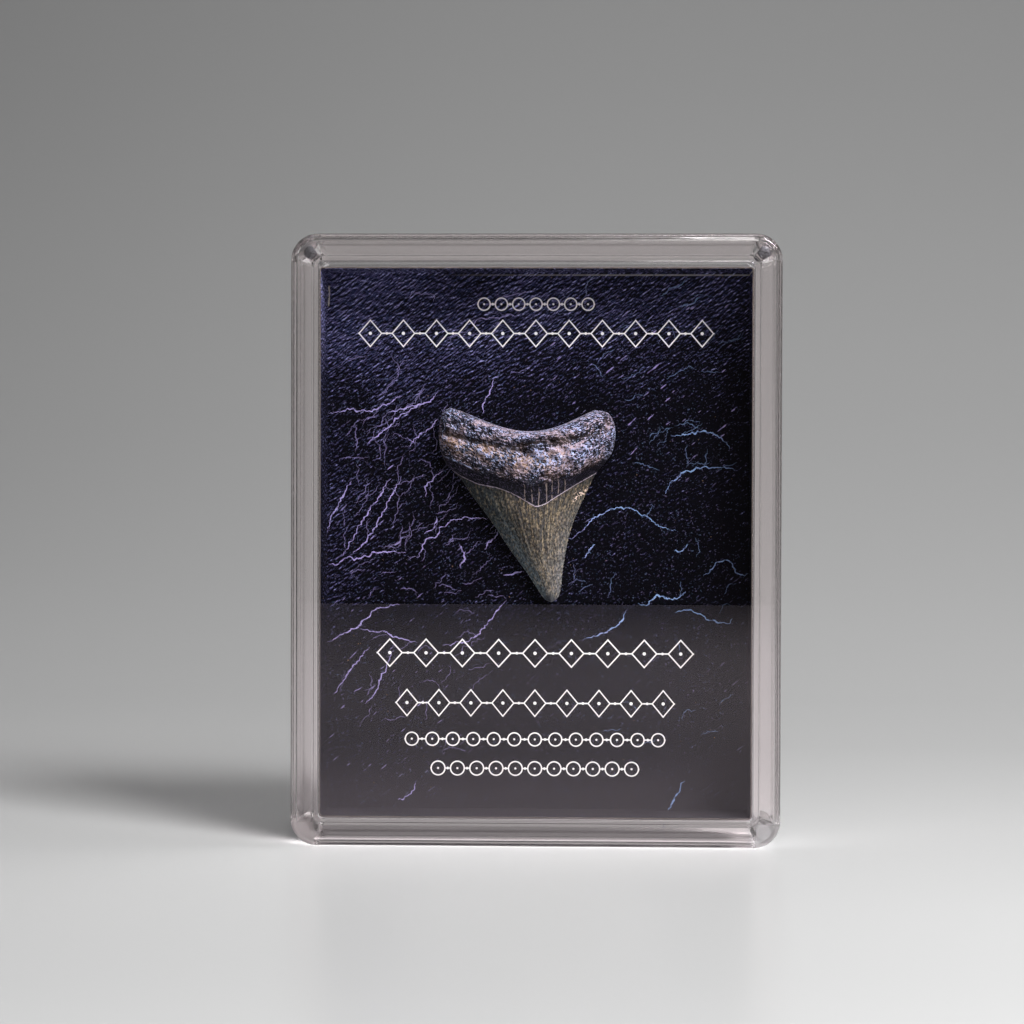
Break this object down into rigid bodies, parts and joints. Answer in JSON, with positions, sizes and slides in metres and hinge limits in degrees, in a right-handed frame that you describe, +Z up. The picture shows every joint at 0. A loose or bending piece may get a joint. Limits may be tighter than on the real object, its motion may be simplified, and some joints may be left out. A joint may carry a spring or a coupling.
{
  "type": "fossil tooth display case",
  "caption": "Fossil shark tooth with a forked root and triangular crown, fixed to a dark card in a clear, flat, upright two-part case.",
  "frame": {"origin": "centre of the closed case's footprint, on the surface it stands on", "axes": "+Z up along the case's height, +Y from the tooth towards the card and the case's back, +X to the right seen from the front"},
  "size_m": [0.1016, 0.018, 0.127],
  "materials": {
    "fossil": "satin",
    "printed_card": "satin",
    "clear_plastic": "polished",
    "magnet": "polished"
  },
  "bodies": {
    "root": {"tooth": "fossil", "card": "printed_card", "case_front": "clear_plastic", "case_back": "clear_plastic", "magnet_front_left": "magnet", "magnet_front_right": "magnet", "magnet_back_left": "magnet", "magnet_back_right": "magnet"}
  },
  "joints": []
}
